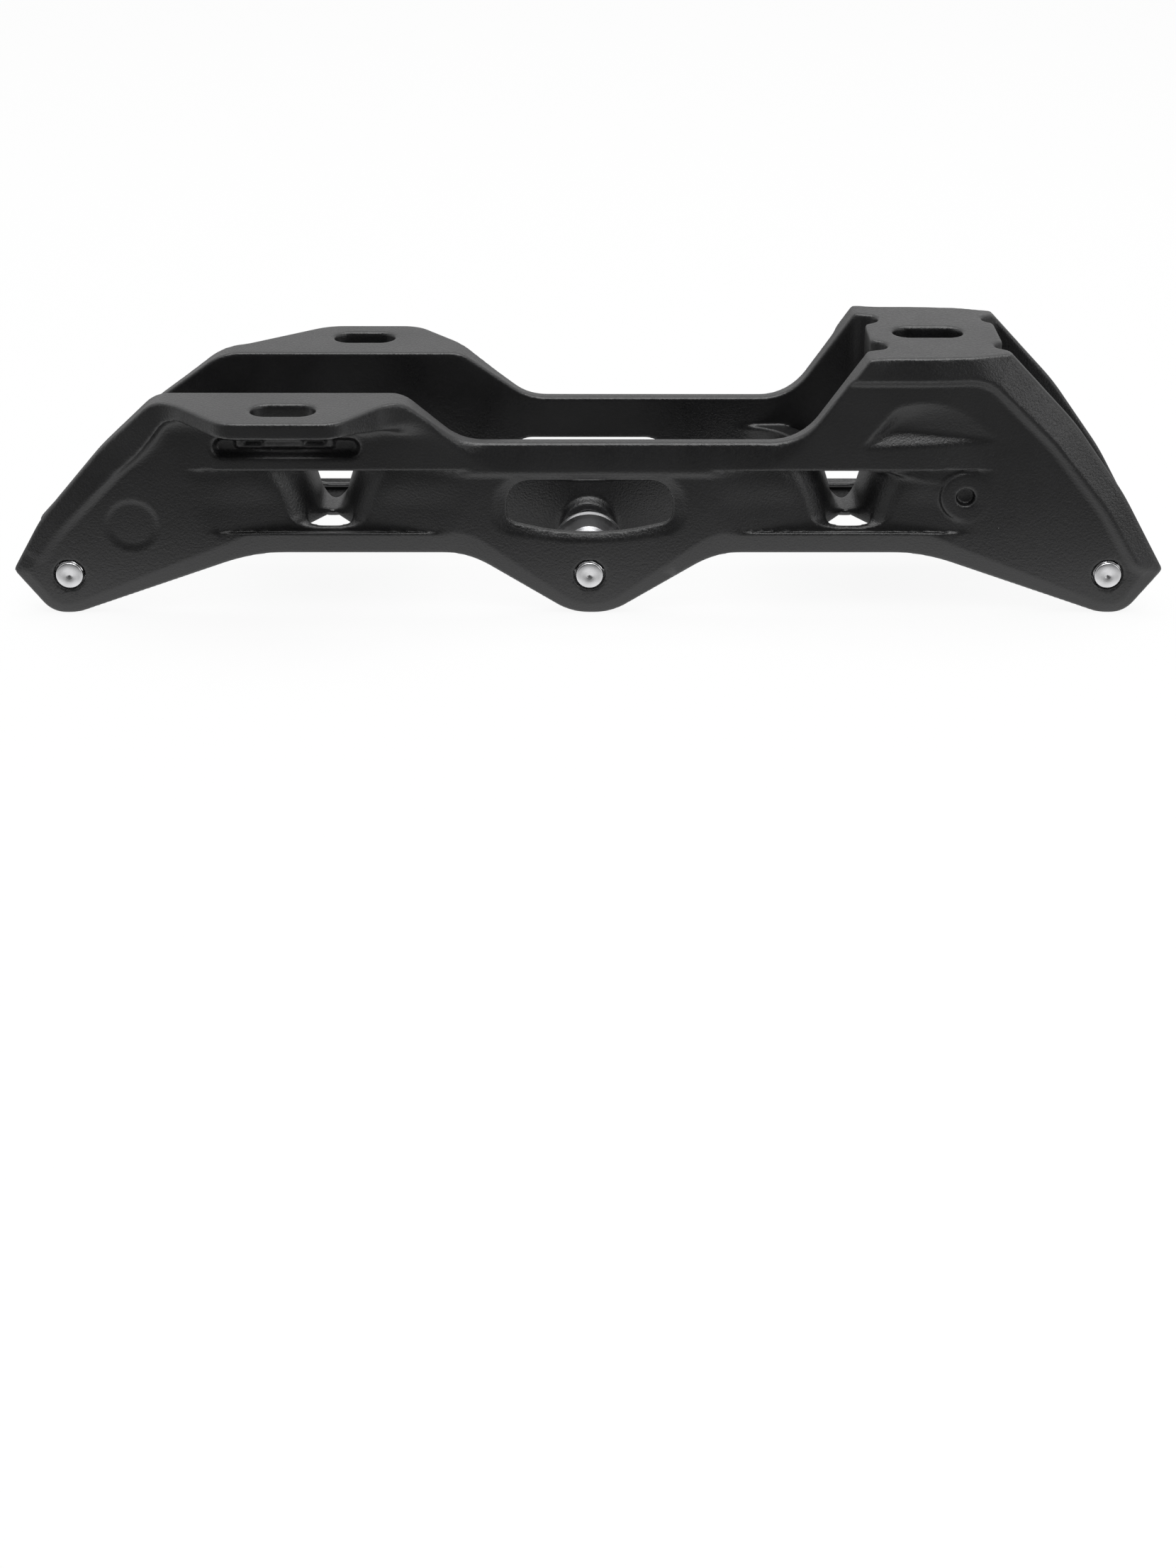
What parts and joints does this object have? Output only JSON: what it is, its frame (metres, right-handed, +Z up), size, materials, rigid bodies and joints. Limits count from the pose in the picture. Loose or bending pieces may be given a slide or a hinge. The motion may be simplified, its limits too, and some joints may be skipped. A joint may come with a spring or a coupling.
{
  "type": "inline skate frame",
  "caption": "Black cast inline skate frame for large wheels, with a staggered three-point boot mount, turned axles and flanged bearing spacers.",
  "frame": {"origin": "under the middle axle, level with the lowest points of the walls, midway between the toe tabs' edges", "axes": "+X from toe to heel, +Y from the medial to the lateral wall, +Z up to the boot"},
  "size_m": [0.282, 0.0758, 0.0673],
  "materials": {
    "casting": "matte",
    "axle": "satin",
    "spacer": "satin"
  },
  "bodies": {
    "frame": {"medial_side_wall": "casting", "lateral_side_wall": "casting", "front_cross_brace": "casting", "rear_cross_brace": "casting", "heel_deck": "casting"},
    "front_axle": {"axle_front": "axle"},
    "middle_axle": {"axle_middle": "axle"},
    "rear_axle": {"axle_rear": "axle"},
    "front_spacer": {"bearing_spacer_front": "spacer"},
    "middle_spacer": {"bearing_spacer_middle": "spacer"},
    "rear_spacer": {"bearing_spacer_rear": "spacer"}
  },
  "joints": [
    {"name": "front_axle_withdraw", "type": "slide", "parent": "frame", "child": "front_axle", "axis": [0, 1, 0], "range_m": [0, 0.045]},
    {"name": "middle_axle_withdraw", "type": "slide", "parent": "frame", "child": "middle_axle", "axis": [0, 1, 0], "range_m": [0, 0.045]},
    {"name": "rear_axle_withdraw", "type": "slide", "parent": "frame", "child": "rear_axle", "axis": [0, 1, 0], "range_m": [0, 0.045]},
    {"name": "front_spacer_turn", "type": "hinge", "parent": "frame", "child": "front_spacer", "pos_m": [-0.1275, 0, 0.0106], "axis": [0, 1, 0], "continuous": true},
    {"name": "middle_spacer_turn", "type": "hinge", "parent": "frame", "child": "middle_spacer", "pos_m": [0, 0, 0.0106], "axis": [0, 1, 0], "continuous": true},
    {"name": "rear_spacer_turn", "type": "hinge", "parent": "frame", "child": "rear_spacer", "pos_m": [0.1275, 0, 0.0106], "axis": [0, 1, 0], "continuous": true}
  ]
}
